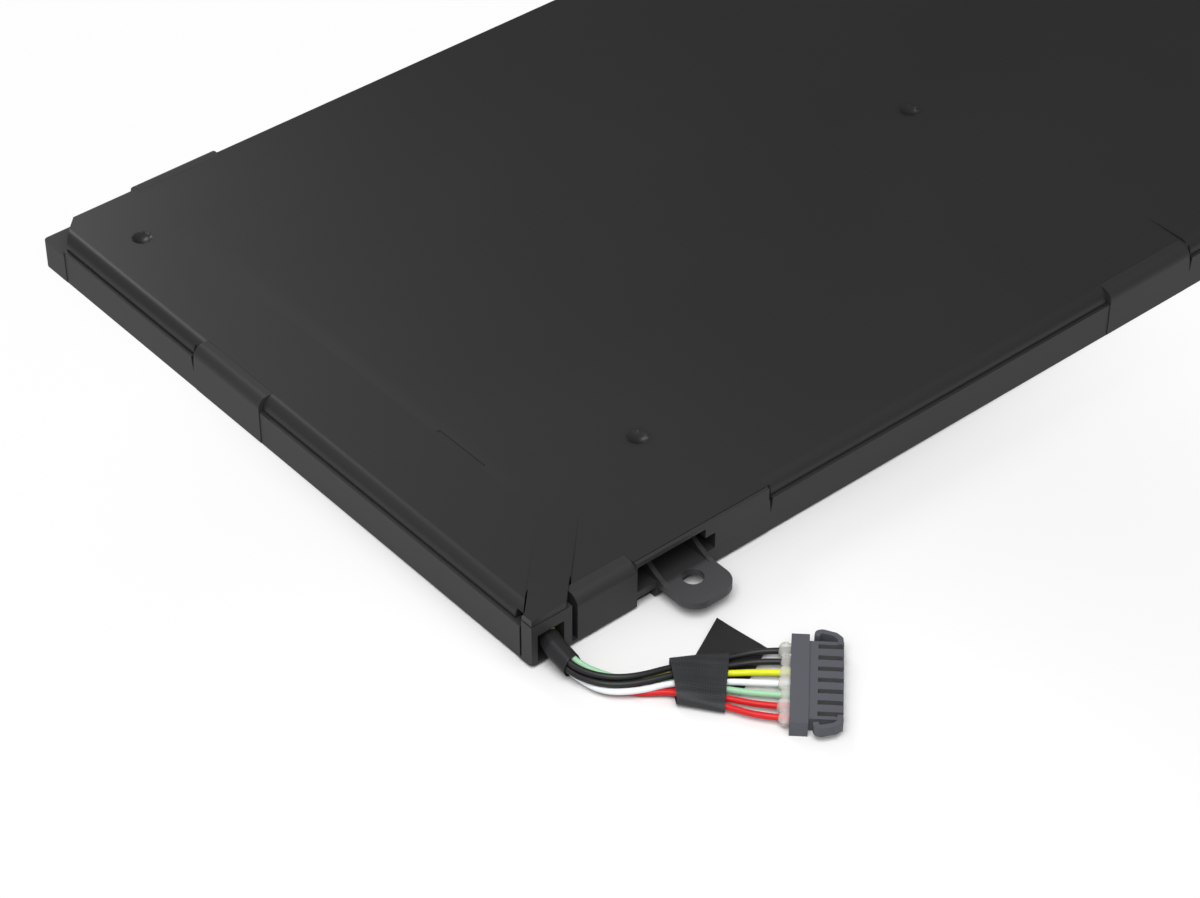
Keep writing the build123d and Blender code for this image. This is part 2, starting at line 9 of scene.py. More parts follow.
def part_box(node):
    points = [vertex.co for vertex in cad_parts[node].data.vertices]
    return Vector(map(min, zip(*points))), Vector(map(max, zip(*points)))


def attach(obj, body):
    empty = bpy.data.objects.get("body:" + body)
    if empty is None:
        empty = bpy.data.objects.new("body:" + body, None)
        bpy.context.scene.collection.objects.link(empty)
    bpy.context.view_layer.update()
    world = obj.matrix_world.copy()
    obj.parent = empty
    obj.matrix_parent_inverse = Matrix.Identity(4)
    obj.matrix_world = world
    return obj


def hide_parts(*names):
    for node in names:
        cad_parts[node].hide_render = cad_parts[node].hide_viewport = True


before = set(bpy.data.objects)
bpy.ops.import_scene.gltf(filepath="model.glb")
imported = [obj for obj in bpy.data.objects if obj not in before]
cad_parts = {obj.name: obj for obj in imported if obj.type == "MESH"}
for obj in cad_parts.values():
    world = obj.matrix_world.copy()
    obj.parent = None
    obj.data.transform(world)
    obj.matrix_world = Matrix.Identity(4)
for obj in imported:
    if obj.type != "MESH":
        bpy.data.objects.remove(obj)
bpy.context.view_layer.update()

MM = 0.001
CASE_LOW, CASE_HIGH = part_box("lower_case")
TAB_REACH = 7.0 * MM
CORNER = Vector((CASE_LOW.x, CASE_LOW.y + TAB_REACH, 0.0))
PACK_HEIGHT = CASE_HIGH.z

# Camera, found from the photograph's straight edges: place from the case's near bottom corner
IMAGE_WIDTH = 1200
FOCAL_PIXELS = 3324.03
SENSOR_WIDTH = 36.0
CAMERA_FROM_CORNER = Vector((-189.58, -233.71, 287.63)) * MM
CAMERA_YAW = math.radians(40.641)
CAMERA_PITCH = math.radians(39.905)
CAMERA_ROLL = math.radians(-0.306)

# Light: a sky that is brightest in one direction, a floor that glows for the camera and more so away from
# the object, a key lamp over the near corner, and a window lamp whose sheen lies on the cover's far left
SKY_TOWARDS = (-0.45, -0.35, 0.82)
SKY_DARKEST = 0.06
SKY_BRIGHTEST = 0.92
SKY_FADES_FROM = -0.3
FLOOR_SIZE = 6.0
FLOOR_DROP = 0.02 * MM
FLOOR_WHITE = 0.68
FLOOR_GLOW = (0.0, 0.95)
GLOW_AROUND = (-0.088, -0.066, 0.0)
GLOW_GROWS = (0.022, 0.1)
KEY_AT = (-0.16, -0.12, 0.2)
KEY_AIM = (-0.1, -0.05, 0.0)
KEY_SIZE = 0.16
KEY_POWER = 0.48
WINDOW_AT = (0.02, 0.52, 0.38)
WINDOW_AIM = (-0.1, 0.03, 0.0)
WINDOW_SIZE = 0.18
WINDOW_POWER = 0.9

# Lead: stations from the near corner in millimetres, with the heading in degrees and the height,
# the wires' spacing side by side, and how far they are gathered into a round bundle
WIRE_RADIUS = 0.43
BUNDLE_PITCH = 0.95
BUNDLE_ROW = BUNDLE_PITCH * math.sqrt(3) / 2
PLUG_AT = (22.12, -23.5)
PLUG_HEADING = -44.0
PLUG_PITCH = 2.0
PLUG_HEIGHT = 1.1
WIRE_SOCKET = 1.1
WIRE_STRAIGHT = 3.3
STATIONS = (
    (19.8, 9.0, 180.0, 3.05, 1.15, 0.0),
    (14.6, 8.9, 189.0, 3.05, 1.15, 0.0),
    (8.9, 7.2, 207.5, 3.0, 1.15, 0.5),
    (4.1, 3.4, 237.0, 2.9, 1.15, 1.0),
    (3.05, -0.9, 263.0, 2.65, 1.15, 1.0),
    (3.05, -4.9, 279.0, 1.75, 1.1, 1.0),
    (4.3, -8.9, 303.0, 1.5, 1.1, 1.0),
    (7.3, -11.6, 324.6, 1.2, 1.1, 0.5),
    (11.3, -13.8, 326.0, 0.9, 1.0, 0.0),
    (16.6, -18.0, 314.5, 0.9, 1.45, 0.0),
)
LAST_GATHERED = 4
TAPE_START, TAPE_END = STATIONS[-2:]

# Each wire's lane where the lead is flat, its length, its place in the round bundle in half pitches and
# rows, and its places (across, height) at the four stations from the sleeve's end to the tape
WIRES = {
    "wire_black_1": (3, 51.6, (-1, 1), ((-0.55, 2.5), (0.1, 2.45), (0.6, 2.25), (1.95, 1.75))),
    "wire_black_2": (2, 52.6, (-2, 0), ((-0.93, 1.65), (-0.65, 1.87), (-0.18, 1.8), (0.45, 1.87))),
    "wire_yellow": (1, 52.6, (2, 0), ((0.95, 1.68), (1.15, 1.2), (1.35, 1.05), (1.7, 0.7))),
    "wire_white": (0, 53.9, (-1, -1), ((-0.2, 0.8), (-1.0, 1.0), (-0.95, 1.25), (-0.45, 1.4))),
    "wire_green": (-1, 55.4, (1, 1), ((0.35, 2.5), (0.95, 2.05), (0.5, 1.27), (0.85, 0.85))),
    "wire_red_1": (-2, 56.1, (1, -1), ((0.65, 0.88), (0.55, 0.6), (0.22, 0.44), (-0.75, 0.44))),
    "wire_red_2": (-3, 57.8, (0, 0), ((0.0, 1.68), (-0.13, 1.15), (-0.65, 0.44), (-1.45, 0.95))),
}

# Moulded shells, in millimetres: the painted shade in the pocket behind a tab, from the case's end, where
# it deepens and stops behind the front wall, and where the painted light on a tab starts in front of it
POCKET_SPAN = (30.65, 17.4)
POCKET_EDGE = 0.2
POCKET_DEEPENS = (-0.2, 1.4)
POCKET_BACK = (6.0, 5.0)
POCKET_TOP = (7.2, 7.0)
POCKET_SHADE_TONE = 0.8
TAB_LIGHT_FROM = (-0.6, -1.6)
TAB_LIGHT_TONE = 2.15

# The cover's sink marks from the corner, and the painted shade darkening them
SINK_MARKS = ((33.7, 18.9), (9.1, 97.8), (114.9, 50.5))
MARK_HEIGHT = 7.5
MARK_FADES = (2.6, 0.5)
MARK_SHADE_TONE = 0.6

# Edges of the moulded shells: how wide they are rounded, which count as sharp, and the hairline joints
CASE_ROUND = 0.14
PLUG_ROUND = 0.1
SHARP_ANGLE = math.radians(28.0)
SMOOTH_ANGLE = math.radians(32.0)
FLAT_ANGLE = math.radians(0.3)
STRETCH_DEPTH = 2.55 * MM
JOINT_REACH = 0.1 * MM
MERGE_REACH = 0.001 * MM

# Sleeve, tape and glue, in millimetres
SLEEVE_START = 0.9
SLEEVE_END = -4.2
SLEEVE_RADIUS = 1.5
SLEEVE_LUMP = 0.05
SLEEVE_WALL = 0.12
SLEEVE_ROUND = 0.05
SLEEVE_SHARP_ANGLE = math.radians(50.0)
BAND_HALF_WIDTH = (3.6, 5.1)
BAND_TOP = (2.4, 1.6)
BAND_BOTTOM = 0.12
BAND_FULLNESS = 3.2
BAND_RIPPLE = 0.05
BAND_RIPPLE_PITCH = 1.45
TAIL_CORNERS = ((23.6, -8.3), (24.9, -16.3), (16.8, -20.2), (15.5, -12.2))
TAIL_HEIGHT = 0.14
TAIL_LIFT = 0.5
TAIL_WAVE = 0.05
TAPE_WALL = 0.16
TAPE_SMOOTH_ANGLE = math.radians(40.0)
THREAD_PITCH = 0.34
BAND_CLOTH = (19.0, 6.8)
TAIL_CLOTH = (8.1, 8.5)
TAIL_CLOTH_FROM = 40.0
# Painted shade on the tape's loose tail
TAIL_SHADE_TONE = 0.3
GLUE_BEAD = (0.95, 1.3, 0.74)
GLUE_ALONG = -0.55
GLUE_SWELL = 0.12
GLUE_VOXEL = 0.12


def from_corner(x, y, z):
    """A point given in millimetres from the case's near bottom corner, in the frame's metres."""
    return CORNER + Vector((x, y, z)) * MM


def beside_station(station, across, height):
    """A point beside a station of the lead, to the left of travel and at a height."""
    x, y, heading = station[:3]
    sideways = math.radians(heading + 90)
    return from_corner(x + across * math.cos(sideways), y + across * math.sin(sideways), height)


def on_plug(along, across, height):
    """A point in the plug's own directions: along its mating way, across to its far end, and up."""
    turn = math.radians(PLUG_HEADING)
    x = PLUG_AT[0] + along * math.cos(turn) - across * math.sin(turn)
    y = PLUG_AT[1] + along * math.sin(turn) + across * math.cos(turn)
    return from_corner(x, y, height)


def route(lane, ring, listed_places):
    """The points of one wire, from the board to its contact."""
    points = []
    for number, station in enumerate(STATIONS):
        height, spacing, gathered = station[3:]
        if LAST_GATHERED < number <= LAST_GATHERED + len(listed_places):
            across, height = listed_places[number - LAST_GATHERED - 1]
        else:
            across = (1 - gathered) * lane * spacing + gathered * ring[0] * BUNDLE_PITCH / 2
            height += gathered * ring[1] * BUNDLE_ROW
        points.append(beside_station(station, across, height))
    points += [on_plug(along, lane * PLUG_PITCH, PLUG_HEIGHT) for along in (-WIRE_STRAIGHT, WIRE_SOCKET)]
    return points


def new_material(name):
    """An empty node material with its Principled shader."""
    material = bpy.data.materials.new(name)
    material.use_nodes = True
    tree = material.node_tree
    return material, tree, tree.nodes["Principled BSDF"]


def add_grain(tree, shader, scale, depth, strength):
    """Fine moulding grain: a noise bump on Object coordinates."""
    place = tree.nodes.new("ShaderNodeTexCoord")
    noise = tree.nodes.new("ShaderNodeTexNoise")
    noise.inputs["Scale"].default_value = scale
    noise.inputs["Detail"].default_value = 3.0
    bump = tree.nodes.new("ShaderNodeBump")
    bump.inputs["Strength"].default_value = strength
    bump.inputs["Distance"].default_value = depth
    tree.links.new(place.outputs["Object"], noise.inputs["Vector"])
    tree.links.new(noise.outputs["Fac"], bump.inputs["Height"])
    tree.links.new(bump.outputs["Normal"], shader.inputs["Normal"])
    return place


def add_mottle(tree, shader, place, scale, dark, light):
    """Slow colour variation between two near tones."""
    noise = tree.nodes.new("ShaderNodeTexNoise")
    noise.inputs["Scale"].default_value = scale
    noise.inputs["Detail"].default_value = 2.0
    ramp = tree.nodes.new("ShaderNodeValToRGB")
    ramp.color_ramp.elements[0].position = 0.3
    ramp.color_ramp.elements[1].position = 0.7
    ramp.color_ramp.elements[0].color = (*dark, 1.0)
    ramp.color_ramp.elements[1].color = (*light, 1.0)
    tree.links.new(place.outputs["Object"], noise.inputs["Vector"])
    tree.links.new(noise.outputs["Fac"], ramp.inputs["Fac"])
    tree.links.new(ramp.outputs["Color"], shader.inputs["Base Color"])


def moulded_plastic(name, dark, light, roughness, grain=5000.0, depth=0.00003):
    """Satin moulding with a fine grain and slight tone changes."""
    material, tree, shader = new_material(name)
    shader.inputs["Roughness"].default_value = roughness
    shader.inputs["Specular IOR Level"].default_value = 0.25
    place = add_grain(tree, shader, grain, depth, 0.25)
    add_mottle(tree, shader, place, 25.0, dark, light)
    return material


def change_tone(tree, shader, mask, factor):
    """Multiply the base colour by a factor where the mask is 1."""
    tone = shader.inputs["Base Color"].links[0].from_socket
    mix = tree.nodes.new("ShaderNodeMix")
    mix.data_type = "RGBA"
    mix.blend_type = "MULTIPLY"
    mix.inputs["B"].default_value = (factor, factor, factor, 1.0)
    tree.links.new(mask, mix.inputs["Factor"])
    tree.links.new(tone, mix.inputs["A"])
    tree.links.new(mix.outputs["Result"], shader.inputs["Base Color"])


def ramp_between(tree, value, start, end):
    """A soft step from 0 to 1 as a value goes from start to end."""
    step = tree.nodes.new("ShaderNodeMapRange")
    step.interpolation_type = "SMOOTHSTEP"
    step.inputs["From Min"].default_value = start
    step.inputs["From Max"].default_value = end
    tree.links.new(value, step.inputs["Value"])
    return step.outputs["Result"]


def product(tree, values):
    """Several masks multiplied together."""
    total = values[0]
    for value in values[1:]:
        times = tree.nodes.new("ShaderNodeMath")
        times.operation = "MULTIPLY"
        tree.links.new(total, times.inputs[0])
        tree.links.new(value, times.inputs[1])
        total = times.outputs["Value"]
    return total


def paint_pocket_shade(material):
    """Painted shade that deepens towards the back of the two pockets behind the screw tabs."""
    tree = material.node_tree
    place = tree.nodes.new("ShaderNodeTexCoord")
    parts = tree.nodes.new("ShaderNodeSeparateXYZ")
    either_end = tree.nodes.new("ShaderNodeMath")
    either_end.operation = "ABSOLUTE"
    tree.links.new(place.outputs["Object"], parts.inputs["Vector"])
    tree.links.new(parts.outputs["X"], either_end.inputs[0])
    end = -CASE_LOW.x
    inner, outer = (end - x * MM for x in POCKET_SPAN)
    masks = [
        ramp_between(tree, either_end.outputs["Value"], inner - POCKET_EDGE * MM, inner),
        ramp_between(tree, either_end.outputs["Value"], outer + POCKET_EDGE * MM, outer),
        ramp_between(tree, parts.outputs["Y"], *(CORNER.y + y * MM for y in POCKET_DEEPENS)),
        ramp_between(tree, parts.outputs["Y"], *(CORNER.y + y * MM for y in POCKET_BACK)),
        ramp_between(tree, parts.outputs["Z"], *(z * MM for z in POCKET_TOP)),
    ]
    change_tone(tree, tree.nodes["Principled BSDF"], product(tree, masks), POCKET_SHADE_TONE)


def paint_tab_light(material):
    """Painted light that makes the screw tabs in front of the wall paler."""
    tree = material.node_tree
    place = tree.nodes.new("ShaderNodeTexCoord")
    parts = tree.nodes.new("ShaderNodeSeparateXYZ")
    tree.links.new(place.outputs["Object"], parts.inputs["Vector"])
    mask = ramp_between(tree, parts.outputs["Y"], *(CORNER.y + y * MM for y in TAB_LIGHT_FROM))
    change_tone(tree, tree.nodes["Principled BSDF"], mask, TAB_LIGHT_TONE)


def paint_mark_shade(material):
    """Painted shade darkening the floors of the cover's sink marks."""
    tree = material.node_tree
    place = tree.nodes.new("ShaderNodeTexCoord")
    for x, y in SINK_MARKS:
        away = tree.nodes.new("ShaderNodeVectorMath")
        away.operation = "DISTANCE"
        away.inputs[1].default_value = from_corner(x, y, MARK_HEIGHT)
        tree.links.new(place.outputs["Object"], away.inputs[0])
        mask = ramp_between(tree, away.outputs["Value"], *(reach * MM for reach in MARK_FADES))
        change_tone(tree, tree.nodes["Principled BSDF"], mask, MARK_SHADE_TONE)


def woven_tape(name, dark, light):
    """Black cloth tape: crossed threads in the piece's own millimetre UVs, slow tone changes, and painted
    shade on the loose tail.
    """
    material, tree, shader = new_material(name)
    shader.inputs["Roughness"].default_value = 0.55
    shader.inputs["Specular IOR Level"].default_value = 0.35
    place = tree.nodes.new("ShaderNodeTexCoord")
    threads = []
    for direction in ("X", "Y"):
        wave = tree.nodes.new("ShaderNodeTexWave")
        wave.bands_direction = direction
        wave.inputs["Scale"].default_value = 2 * math.pi / (20.0 * THREAD_PITCH)
        wave.inputs["Distortion"].default_value = 0.4
        tree.links.new(place.outputs["UV"], wave.inputs["Vector"])
        threads.append(wave.outputs["Fac"])
    bump = tree.nodes.new("ShaderNodeBump")
    bump.inputs["Strength"].default_value = 0.6
    bump.inputs["Distance"].default_value = 0.00005
    tree.links.new(product(tree, threads), bump.inputs["Height"])
    tree.links.new(bump.outputs["Normal"], shader.inputs["Normal"])
    add_mottle(tree, shader, place, 180.0, dark, light)
    parts = tree.nodes.new("ShaderNodeSeparateXYZ")
    tree.links.new(place.outputs["UV"], parts.inputs["Vector"])
    # Painted shade darkening the loose tail
    tail_shade = ramp_between(tree, parts.outputs["X"], TAIL_CLOTH_FROM - 2.0, TAIL_CLOTH_FROM - 1.0)
    change_tone(tree, shader, tail_shade, TAIL_SHADE_TONE)
    return material


def wire_skin(name, dark, light):
    """Smooth extruded insulation with a faint run of tone."""
    material, tree, shader = new_material(name)
    shader.inputs["Roughness"].default_value = 0.42
    shader.inputs["Specular IOR Level"].default_value = 0.3
    place = add_grain(tree, shader, 2500.0, 0.00001, 0.15)
    add_mottle(tree, shader, place, 300.0, dark, light)
    return material


def clear_glue():
    """Cloudy hot-melt glue that lets the wires show through."""
    material, tree, shader = new_material("glue_clear")
    shader.inputs["Base Color"].default_value = (0.93, 0.92, 0.88, 1.0)
    shader.inputs["Roughness"].default_value = 0.2
    shader.inputs["IOR"].default_value = 1.3
    shader.inputs["Transmission Weight"].default_value = 0.7
    add_grain(tree, shader, 1100.0, 0.00012, 0.5)
    return material


def metal_strip(name, dark, light, roughness):
    """Plated or rolled metal with fine scratches."""
    material, tree, shader = new_material(name)
    shader.inputs["Metallic"].default_value = 1.0
    shader.inputs["Roughness"].default_value = roughness
    place = add_grain(tree, shader, 3000.0, 0.00001, 0.2)
    add_mottle(tree, shader, place, 400.0, dark, light)
    return material


CASE_BLACK = moulded_plastic("case_black", (0.019, 0.019, 0.02), (0.022, 0.022, 0.023), 0.5)
COVER_BLACK = moulded_plastic("cover_black", (0.0155, 0.0155, 0.016), (0.0175, 0.0175, 0.018), 0.38)
PLUG_GREY = moulded_plastic("plug_grey", (0.062, 0.065, 0.076), (0.073, 0.076, 0.088), 0.5)
TAPE_BLACK = woven_tape("tape_black", (0.013, 0.014, 0.016), (0.02, 0.021, 0.023))
SLEEVE_BLACK = moulded_plastic("sleeve_black", (0.012, 0.012, 0.013), (0.016, 0.016, 0.017), 0.5)
# Painted shade in the two pockets behind the screw tabs
paint_pocket_shade(CASE_BLACK)
# Painted light on the screw tabs
paint_tab_light(CASE_BLACK)
# Painted shade in the cover's sink marks
paint_mark_shade(COVER_BLACK)
CHIP_BLACK = moulded_plastic("chip_black", (0.012, 0.012, 0.012), (0.02, 0.02, 0.02), 0.6)
BOARD_GREEN = moulded_plastic("board_green", (0.01, 0.09, 0.04), (0.015, 0.12, 0.055), 0.35)
CERAMIC_TAN = moulded_plastic("ceramic_tan", (0.3, 0.2, 0.12), (0.38, 0.27, 0.17), 0.5)
CERAMIC_PALE = moulded_plastic("ceramic_pale", (0.62, 0.6, 0.54), (0.7, 0.68, 0.61), 0.5)
FILM_AMBER = moulded_plastic("film_amber", (0.42, 0.22, 0.03), (0.52, 0.3, 0.05), 0.25)
PAD_WHITE = moulded_plastic("pad_white", (0.66, 0.66, 0.63), (0.75, 0.75, 0.72), 0.8)
POUCH_FOIL = metal_strip("pouch_foil", (0.55, 0.56, 0.58), (0.66, 0.67, 0.69), 0.4)
TAB_ALUMINIUM = metal_strip("tab_aluminium", (0.72, 0.72, 0.73), (0.82, 0.82, 0.83), 0.35)
NICKEL_PLATE = metal_strip("nickel_plate", (0.6, 0.59, 0.55), (0.7, 0.69, 0.65), 0.35)
SOLDER_GREY = metal_strip("solder_grey", (0.6, 0.6, 0.62), (0.7, 0.7, 0.72), 0.3)
CONTACT_TIN = metal_strip("contact_tin", (0.62, 0.52, 0.32), (0.72, 0.62, 0.4), 0.3)
GLUE_CLEAR = clear_glue()
WIRE_SKINS = {
    "black": wire_skin("wire_black", (0.008, 0.008, 0.009), (0.013, 0.013, 0.014)),
    "yellow": wire_skin("wire_yellow", (0.54, 0.56, 0.006), (0.62, 0.64, 0.01)),
    "white": wire_skin("wire_white", (0.62, 0.64, 0.66), (0.7, 0.72, 0.74)),
    "green": wire_skin("wire_green", (0.24, 0.46, 0.28), (0.3, 0.52, 0.34)),
    "red": wire_skin("wire_red", (0.46, 0.004, 0.006), (0.54, 0.007, 0.009)),
}
NODE_FINISH = {
    "lower_case": CASE_BLACK,
    "top_cover": COVER_BLACK,
    "protection_board": BOARD_GREEN,
    "weld_plates": NICKEL_PLATE,
    "gauge_chip": CHIP_BLACK,
    "power_transistors": CHIP_BLACK,
    "sense_resistor": CHIP_BLACK,
    "fuse": CERAMIC_PALE,
    "capacitors": CERAMIC_TAN,
    "board_insulator": FILM_AMBER,
    "solder_joints": SOLDER_GREY,
    "cable_sleeve": SLEEVE_BLACK,
    "tape_band": TAPE_BLACK,
    "connector_housing": PLUG_GREY,
    "connector_contacts": CONTACT_TIN,
    "connector_glue": GLUE_CLEAR,
}
for number in (1, 2, 3):
    NODE_FINISH[f"cell_{number}"] = POUCH_FOIL
    NODE_FINISH[f"cell_{number}_pad"] = PAD_WHITE
    NODE_FINISH[f"cell_{number}_positive_tab"] = TAB_ALUMINIUM
    NODE_FINISH[f"cell_{number}_negative_tab"] = NICKEL_PLATE
for node, finish in NODE_FINISH.items():
    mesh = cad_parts[node].data
    mesh.materials.clear()
    mesh.materials.append(finish)


def work_on(piece):
    """Make a piece the only selected one, and the active one."""
    bpy.ops.object.select_all(action="DESELECT")
    piece.select_set(True)
    bpy.context.view_layer.objects.active = piece


def finish_with(piece, kind, **settings):
    """Add a modifier with its settings and apply it."""
    work_on(piece)
    modifier = piece.modifiers.new(kind.lower(), kind)
    for name, value in settings.items():
        setattr(modifier, name, value)
    bpy.ops.object.modifier_apply(modifier=modifier.name)


def stands_for(piece, node, finish):
    """Put a finished piece in a node's place, with its finish and material slot."""
    piece.data.materials.clear()
    piece.data.materials.append(finish)
    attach(piece, "root")
    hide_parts(node)


def beside_raised_stretch(point):
    """Whether a point lies on the hairline joint behind a raised stretch of the wall."""
    if point.z < PACK_HEIGHT - 0.1 * MM:
        return False
    gaps = (
        point.x - CASE_LOW.x,
        CASE_HIGH.x - point.x,
        point.y - CORNER.y,
        CASE_HIGH.y - point.y,
    )
    return abs(min(gaps) - STRETCH_DEPTH) < JOINT_REACH


def soft_edged(node, name, width, kept_at=-1.0):
    """A merged copy of a moulded node, its sharp edges rounded a little except those at one height."""
    piece = bpy.data.objects.new(name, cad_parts[node].data.copy())
    bpy.context.scene.collection.objects.link(piece)
    work_on(piece)
    bpy.ops.object.mode_set(mode="EDIT")
    bpy.ops.mesh.select_mode(type="EDGE")
    bpy.ops.mesh.select_all(action="SELECT")
    bpy.ops.mesh.remove_doubles(threshold=MERGE_REACH)
    bpy.ops.mesh.dissolve_limited(angle_limit=FLAT_ANGLE)
    bpy.ops.mesh.select_all(action="DESELECT")
    bpy.ops.mesh.edges_select_sharp(sharpness=SHARP_ANGLE)
    bpy.ops.object.mode_set(mode="OBJECT")
    mesh = piece.data
    weights = mesh.attributes.new("bevel_weight_edge", "FLOAT", "EDGE")
    for edge, weight in zip(mesh.edges, weights.data):
        middle = (mesh.vertices[edge.vertices[0]].co + mesh.vertices[edge.vertices[1]].co) / 2
        if edge.select and abs(middle.z - kept_at) > MERGE_REACH and not beside_raised_stretch(middle):
            weight.value = 1.0
    finish_with(
        piece,
        "BEVEL",
        limit_method="WEIGHT",
        width=width * MM,
        segments=2,
        use_clamp_overlap=True,
        loop_slide=True,
    )
    bpy.ops.object.shade_smooth_by_angle(angle=SMOOTH_ANGLE)
    finish_with(piece, "WEIGHTED_NORMAL", keep_sharp=True)
    return piece


def mapped_grid(name, around, along, place, cloth=(1.0, 1.0), cloth_from=0.0):
    """A grid of faces bent into shape: place gives a point for its two shares from 0 to 1.

    The UVs are scaled to the size of the cloth and start at cloth_from.
    """
    bpy.ops.object.select_all(action="DESELECT")
    bpy.ops.mesh.primitive_grid_add(x_subdivisions=around, y_subdivisions=along, size=1.0)
    piece = bpy.context.object
    piece.name = name
    for vertex in piece.data.vertices:
        vertex.co = place(vertex.co.x + 0.5, vertex.co.y + 0.5)
    for corner in piece.data.uv_layers.active.data:
        corner.uv = (cloth_from + corner.uv[0] * cloth[0], corner.uv[1] * cloth[1])
    bpy.ops.object.mode_set(mode="EDIT")
    bpy.ops.mesh.select_all(action="SELECT")
    bpy.ops.mesh.remove_doubles(threshold=MERGE_REACH)
    bpy.ops.mesh.normals_make_consistent(inside=False)
    bpy.ops.object.mode_set(mode="OBJECT")
    return piece


def rounded_section(turn, half_width, half_height, fullness):
    """A point of a rounded rectangle by its share of a turn; fullness 2 is an ellipse, more is squarer."""
    angle = 2 * math.pi * turn
    c, s = math.cos(angle), math.sin(angle)
    across = half_width * math.copysign(abs(c) ** (2 / fullness), c)
    up = half_height * math.copysign(abs(s) ** (2 / fullness), s)
    return across, up


def sleeve_point(turn, share):
    """Wrap of the sleeve: a round tube that shows the wires in it a little."""
    y = SLEEVE_START + share * (SLEEVE_END - SLEEVE_START)
    first, second, third = STATIONS[3:6]
    a, b = (first, second) if y > second[1] else (second, third)
    t = (y - a[1]) / (b[1] - a[1])
    x, z, heading = (a[i] + t * (b[i] - a[i]) for i in (0, 3, 2))
    angle = 2 * math.pi * turn
    radius = SLEEVE_RADIUS + SLEEVE_LUMP * math.cos(6 * angle + 0.6)
    sideways = math.radians(heading + 90)
    across = radius * math.cos(angle)
    return from_corner(
        x + across * math.cos(sideways), y + across * math.sin(sideways), z + radius * math.sin(angle)
    )


def make_sleeve():
    """Tape wrap round the gathered wires where they leave the window."""
    piece = mapped_grid("sleeve_wrap", 48, 24, sleeve_point)
    finish_with(piece, "SOLIDIFY", thickness=SLEEVE_WALL * MM, offset=-1.0)
    finish_with(
        piece,
        "BEVEL",
        width=SLEEVE_ROUND * MM,
        segments=2,
        limit_method="ANGLE",
        angle_limit=SLEEVE_SHARP_ANGLE,
    )
    bpy.ops.object.shade_smooth_by_angle(angle=TAPE_SMOOTH_ANGLE)
    return piece


def band_point(turn, share):
    """Tape band: a flattened tube that is thicker where the wires lie in two layers."""
    ease = share * share * (3 - 2 * share)
    heading = TAPE_START[2] + share * (TAPE_END[2] - TAPE_START[2])
    x = TAPE_START[0] + share * (TAPE_END[0] - TAPE_START[0])
    y = TAPE_START[1] + share * (TAPE_END[1] - TAPE_START[1])
    half_width = BAND_HALF_WIDTH[0] + share * (BAND_HALF_WIDTH[1] - BAND_HALF_WIDTH[0])
    top = BAND_TOP[0] + ease * (BAND_TOP[1] - BAND_TOP[0])
    across, up = rounded_section(turn, half_width, (top - BAND_BOTTOM) / 2, BAND_FULLNESS)
    ripple = BAND_RIPPLE * math.cos(across * 2 * math.pi / BAND_RIPPLE_PITCH) * (1 if up > 0 else 0)
    height = BAND_BOTTOM + (top - BAND_BOTTOM) / 2 + up + ripple
    return beside_station((x, y, heading), across, height)


def tail_point(across, share):
    """Loose tail of the tape: a flat quadrilateral that lifts towards its tip."""
    a, b, c, d = TAIL_CORNERS
    x = (1 - across) * ((1 - share) * d[0] + share * a[0]) + across * ((1 - share) * c[0] + share * b[0])
    y = (1 - across) * ((1 - share) * d[1] + share * a[1]) + across * ((1 - share) * c[1] + share * b[1])
    lift = TAIL_LIFT * share**2 * (1 - 0.7 * across) + TAIL_WAVE * math.sin(5.0 * across + 3.0 * share)
    return from_corner(x, y, TAIL_HEIGHT + max(0.0, lift))


def make_tape():
    """Cloth tape wrapped once round the wires, with its end left loose on the surface."""
    band = mapped_grid("tape_wrap", 64, 16, band_point, BAND_CLOTH)
    tail = mapped_grid("tape_wrap_tail", 20, 20, tail_point, TAIL_CLOTH, TAIL_CLOTH_FROM)
    work_on(tail)
    band.select_set(True)
    bpy.context.view_layer.objects.active = band
    bpy.ops.object.join()
    finish_with(band, "SOLIDIFY", thickness=TAPE_WALL * MM, offset=0.0)
    bpy.ops.object.shade_smooth_by_angle(angle=TAPE_SMOOTH_ANGLE)
    return band


def make_glue():
    """Clear glue: a bead round each wire at the plug's rear, run together."""
    beads = []
    for lane in range(-3, 4):
        swell = 1.0 + GLUE_SWELL * math.sin(2.4 * lane + 0.7)
        bpy.ops.object.select_all(action="DESELECT")
        bpy.ops.mesh.primitive_uv_sphere_add(segments=24, ring_count=14, radius=1.0)
        bead = bpy.context.object
        bead.scale = [swell * size * MM for size in GLUE_BEAD]
        bead.rotation_euler = (0.0, 0.0, math.radians(PLUG_HEADING))
        bead.location = on_plug(GLUE_ALONG * swell, lane * PLUG_PITCH, PLUG_HEIGHT)
        bpy.ops.object.transform_apply(location=True, rotation=True, scale=True)
        beads.append(bead)
    for bead in beads:
        bead.select_set(True)
    bpy.context.view_layer.objects.active = beads[0]
    bpy.ops.object.join()
    glue = bpy.context.object
    glue.name = "glue_beads"
    finish_with(glue, "REMESH", mode="VOXEL", voxel_size=GLUE_VOXEL * MM)
    finish_with(glue, "SMOOTH", factor=0.5, iterations=10)
    work_on(glue)
    bpy.ops.object.shade_smooth()
    return glue


stands_for(soft_edged("lower_case", "case_shell", CASE_ROUND), "lower_case", CASE_BLACK)
cover_shell = soft_edged("top_cover", "cover_shell", CASE_ROUND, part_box("top_cover")[0].z)
stands_for(cover_shell, "top_cover", COVER_BLACK)
plug_shell = soft_edged("connector_housing", "plug_shell", PLUG_ROUND)
stands_for(plug_shell, "connector_housing", PLUG_GREY)
sleeve_wrap = make_sleeve()
stands_for(sleeve_wrap, "cable_sleeve", SLEEVE_BLACK)
tape_wrap = make_tape()
stands_for(tape_wrap, "tape_band", TAPE_BLACK)
glue_beads = make_glue()
stands_for(glue_beads, "connector_glue", GLUE_CLEAR)

